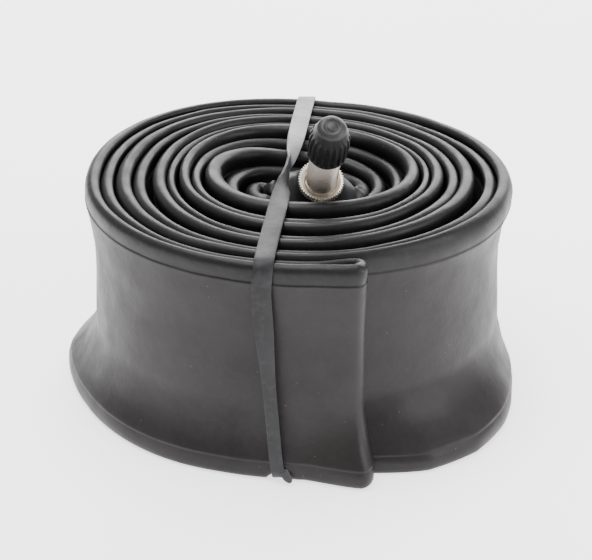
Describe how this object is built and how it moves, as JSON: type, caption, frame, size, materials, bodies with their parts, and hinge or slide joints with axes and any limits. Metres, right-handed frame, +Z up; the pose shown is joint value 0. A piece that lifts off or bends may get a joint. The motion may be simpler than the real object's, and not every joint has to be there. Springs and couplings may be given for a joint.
{
  "type": "inner tube",
  "caption": "Rolled bicycle inner tube with a flattened butyl casing, a leaning car-type metal valve with knurled nut and ribbed cap, tied with a flat rubber band.",
  "frame": {"origin": "centre of the bounding box's base, on the surface that the coil stands on", "axes": "+Z up along the coil's axis, -Y towards the side with the outer fold and the leaning valve's tip, +X to the right seen from there"},
  "size_m": [0.1004, 0.1062, 0.0766],
  "materials": {
    "tube_rubber": "matt butyl with a trace of talc",
    "base_rubber": "smooth moulded rubber",
    "nickel": "satin nickel plating on a cut thread",
    "nut_nickel": "satin nickel plating, knurled edge",
    "core_brass": "turned brass",
    "core_seal": "smooth seal",
    "washer_rubber": "smooth rubber",
    "spring_steel": "drawn wire",
    "cap_plastic": "semi-gloss moulded plastic",
    "band_rubber": "matt natural rubber"
  },
  "bodies": {
    "tube": {"tube_casing": "tube_rubber", "valve_base": "base_rubber", "valve_stem": "nickel", "core_plug": "core_brass", "core_barrel": "core_brass", "core_gasket": "core_seal", "core_spring": "spring_steel", "rubber_band": "band_rubber"},
    "nut": {"rim_nut": "nut_nickel"},
    "cap_carrier": {"cap_seal": "washer_rubber"},
    "cap": {"dust_cap": "cap_plastic"},
    "pin": {"core_pin": "core_brass", "core_cup": "core_brass", "core_seat_washer": "washer_rubber"}
  },
  "joints": [
    {"name": "nut_slide", "type": "slide", "parent": "tube", "child": "nut", "axis": [0.0889, -0.6092, 0.788], "range_m": [0, 0.0138]},
    {"name": "cap_lift", "type": "slide", "parent": "tube", "child": "cap_carrier", "axis": [0.0889, -0.6092, 0.788], "range_m": [0, 0.02223]},
    {"name": "cap_spin", "type": "hinge", "parent": "cap_carrier", "child": "cap", "pos_m": [0.0056, 0.00052, 0.05245], "axis": [0.0889, -0.6092, 0.788], "range_deg": [0, 10080]},
    {"name": "pin_press", "type": "slide", "parent": "tube", "child": "pin", "axis": [-0.0889, 0.6092, -0.788], "range_m": [0, 0.0011], "stiffness_N_per_m": 600, "springref_m": -0.002, "deforming": ["core_spring"]}
  ],
  "couplings": [
    {"joint": "cap_spin", "follows": "cap_lift", "rad_per_m": 7915.8}
  ]
}
